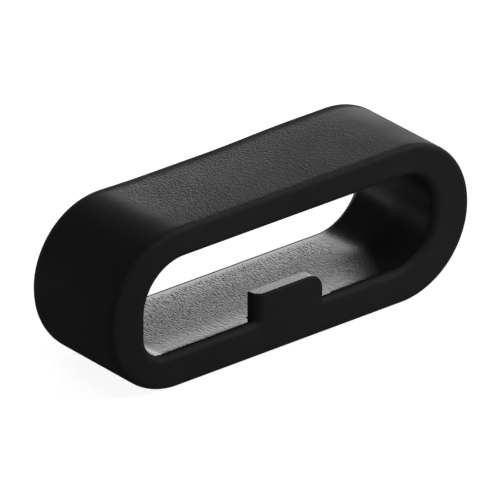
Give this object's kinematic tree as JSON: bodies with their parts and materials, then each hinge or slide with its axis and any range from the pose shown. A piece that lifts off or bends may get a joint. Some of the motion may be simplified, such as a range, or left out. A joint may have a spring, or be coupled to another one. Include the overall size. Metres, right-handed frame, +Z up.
{
  "type": "watch strap keeper",
  "caption": "Soft rubber keeper loop that holds the free end of a watch strap, with a small tab inside that drops into a strap hole and stops the loop sliding.",
  "frame": {"origin": "middle of the flat underside, under the centre of the loop's outer box", "axes": "+X along the loop, across the strap; +Y through the loop along the strap, from the tab's side to the back; +Z up, from the underside to the top of the loop"},
  "size_m": [0.025, 0.0072, 0.0094],
  "materials": {
    "loop_rubber": "fine moulded satin",
    "tab_rubber": "smooth moulded satin"
  },
  "bodies": {
    "root": {"keeper_loop": "loop_rubber", "locating_tab": "tab_rubber"}
  },
  "joints": []
}
